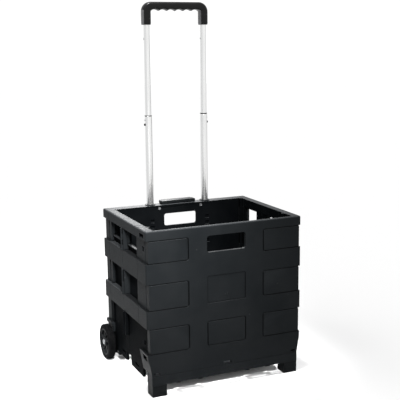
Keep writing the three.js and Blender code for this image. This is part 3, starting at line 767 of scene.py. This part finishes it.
handle()
grip()


def carry_slab():
    """The raised hand slab on the back rim, with rounded edges and a parting line."""
    low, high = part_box("rear_carry_grip")
    bm = bmesh.new()
    add_block(bm, low, high, 2.6 * MM, 4)
    middle = (low.y + high.y) / 2
    for y in (low.y, middle, high.y - 1.2 * MM):
        add_block(
            bm,
            (low.x + 6 * MM, y, high.z - 1.5 * MM),
            (high.x - 6 * MM, y + 1.2 * MM, high.z + 0.4 * MM),
            0.4 * MM,
        )
    piece("carry_slab", bm, DEEP, BODY_OF["rear_carry_grip"], ["rear_carry_grip"])


carry_slab()


# ------------------------------------------------------------------ wheels
def wheel(word, side):
    """A tyre with two fine grooves round the tread, on a dished hub with five spokes."""
    low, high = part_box(f"wheel_tyre_{word}")
    centre = (low + high) / 2
    radius = (high.z - low.z) / 2
    half = (high.x - low.x) / 2
    rim = 36 * MM
    tyre = [(rim, -half), (radius - 4 * MM, -half)]
    turns = 5
    for step in range(turns + 1):
        angle = math.pi / 2 * step / turns
        tyre.append((
            radius - 4 * MM + 4 * MM * math.sin(angle),
            -half + 4 * MM - 4 * MM * math.cos(angle),
        ))
    # two fine grooves round the tread
    for along in (-3 * MM, 3 * MM):
        tyre += [
            (radius, along - 0.9 * MM),
            (radius - 0.9 * MM, along - 0.5 * MM),
            (radius - 0.9 * MM, along + 0.5 * MM),
            (radius, along + 0.9 * MM),
        ]
    for step in range(turns + 1):
        angle = math.pi / 2 * (1 - step / turns)
        tyre.append((
            radius - 4 * MM + 4 * MM * math.sin(angle),
            half - 4 * MM + 4 * MM * math.cos(angle),
        ))
    tyre.append((rim, half))
    bm = bmesh.new()
    add_revolved(bm, tyre, centre, "x", 96)
    piece(f"wheel_tyre_{word}_rolled", bm, TYRE, BODY_OF[f"wheel_tyre_{word}"],
          [f"wheel_tyre_{word}"])

    bm = bmesh.new()
    out = side * half
    hub = [
        (4.4 * MM, -out),
        (9 * MM, -out),
        (10 * MM, -out * 0.2),
        (rim - 5 * MM, -out * 0.05),
        (rim - 3.5 * MM, -out * 0.9),
        (rim, -out * 0.94),
        (rim, out * 0.94),
        (rim - 3.5 * MM, out * 0.9),
        (rim - 5 * MM, out * 0.3),
        (12 * MM, out * 0.2),
        (10.5 * MM, out * 0.95),
        (9.5 * MM, out),
        (4.4 * MM, out),
    ]
    add_revolved(bm, hub, centre, "x", 72)
    for spoke in range(5):
        angle = 2 * math.pi * spoke / 5
        fresh = len(bm.verts)
        x = sorted((out * 0.1, out * 0.72))
        add_block(bm, (x[0], -2.2 * MM, 9 * MM), (x[1], 2.2 * MM, rim - 2 * MM), 0.9 * MM)
        bm.verts.ensure_lookup_table()
        turn = Matrix.Translation(centre) @ Matrix.Rotation(angle, 4, "X")
        bmesh.ops.transform(bm, matrix=turn, verts=bm.verts[fresh:])
    piece(f"wheel_hub_{word}_spoked", bm, DEEP, BODY_OF[f"wheel_hub_{word}"],
          [f"wheel_hub_{word}"])
    axle_cap(word, side)


def axle_cap(word, side):
    """The pressed cap nut on the end of the axle."""
    node = f"axle_cap_{word}"
    low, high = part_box(node)
    centre = (low + high) / 2
    radius = (high.z - low.z) / 2
    reach = high.x - low.x
    inner = low.x if side > 0 else high.x
    profile = [(0, 0), (radius, 0), (radius, 0.4), (radius * 0.9, 0.62)]
    profile += [(radius * 0.72, 0.66), (radius * 0.6, 0.9), (radius * 0.3, 1.0), (0, 1.0)]
    outline = [(around, side * reach * along) for around, along in profile]
    bm = bmesh.new()
    add_revolved_solid(bm, outline, Vector((inner, centre.y, centre.z)), "x", 40)
    piece(f"{node}_pressed", bm, CAP_STEEL, BODY_OF[node], [node])


for word, side in SIDES:
    wheel(word, side)


# ------------------------------------------------------------------ studio
def studio():
    """A pale floor under a pale sky, and three lamps."""
    bm = bmesh.new()
    bmesh.ops.create_grid(bm, x_segments=1, y_segments=1, size=14)
    paper = bpy.data.materials.new("paper")
    paper.use_nodes = True
    shader = paper.node_tree.nodes["Principled BSDF"]
    shader.inputs["Base Color"].default_value = (0.93, 0.93, 0.93, 1)
    shader.inputs["Roughness"].default_value = 0.9
    shader.inputs["Specular IOR Level"].default_value = 0.0
    link("floor", bm, paper)
    world = bpy.data.worlds.new("studio")
    world.use_nodes = True
    sky = world.node_tree.nodes["Background"]
    sky.inputs["Color"].default_value = (1, 1, 1, 1)
    sky.inputs["Strength"].default_value = 1.08
    bpy.context.scene.world = world
    bpy.context.scene.view_settings.view_transform = "Standard"
    spot("key", (-0.55, -1.35, 1.25), (-0.24, -0.17, 0.47), 27, 480)
    spot("top", (-0.15, -0.15, 2.2), (-0.05, -0.02, 0.4), 17, 700)
    spot("rear", (0.5, 1.9, 1.3), (0, 0.15, 0.3), 22, 220)


def spot(name, place, target, angle, power):
    """A soft lamp with a narrow, feathered beam, which lights the trolley and little else."""
    lamp = bpy.data.lights.new(name, "SPOT")
    lamp.spot_size = math.radians(angle)
    lamp.spot_blend = 1.0
    lamp.shadow_soft_size = 0.2
    lamp.energy = power
    obj = bpy.data.objects.new(name, lamp)
    obj.location = place
    ahead = Vector(target) - Vector(place)
    obj.rotation_euler = ahead.to_track_quat("-Z", "Y").to_euler()
    obj.visible_camera = False
    bpy.context.scene.collection.objects.link(obj)


def camera():
    """The camera stands to the left of the trolley and looks slightly down on it."""
    yaw, pitch, roll = (math.radians(angle) for angle in (23.83, 10.63, -0.62))
    ahead = Vector((
        math.sin(yaw) * math.cos(pitch),
        math.cos(yaw) * math.cos(pitch),
        -math.sin(pitch),
    ))
    data = bpy.data.cameras.new("camera")
    data.sensor_width = 36
    data.lens = 75.85
    obj = bpy.data.objects.new("camera", data)
    obj.location = (-0.8627, -1.9705, 0.8440)
    level = ahead.to_track_quat("-Z", "Y").to_matrix()
    obj.rotation_euler = (level @ Matrix.Rotation(roll, 3, "Z")).to_euler()
    bpy.context.scene.collection.objects.link(obj)
    bpy.context.scene.camera = obj


studio()
camera()
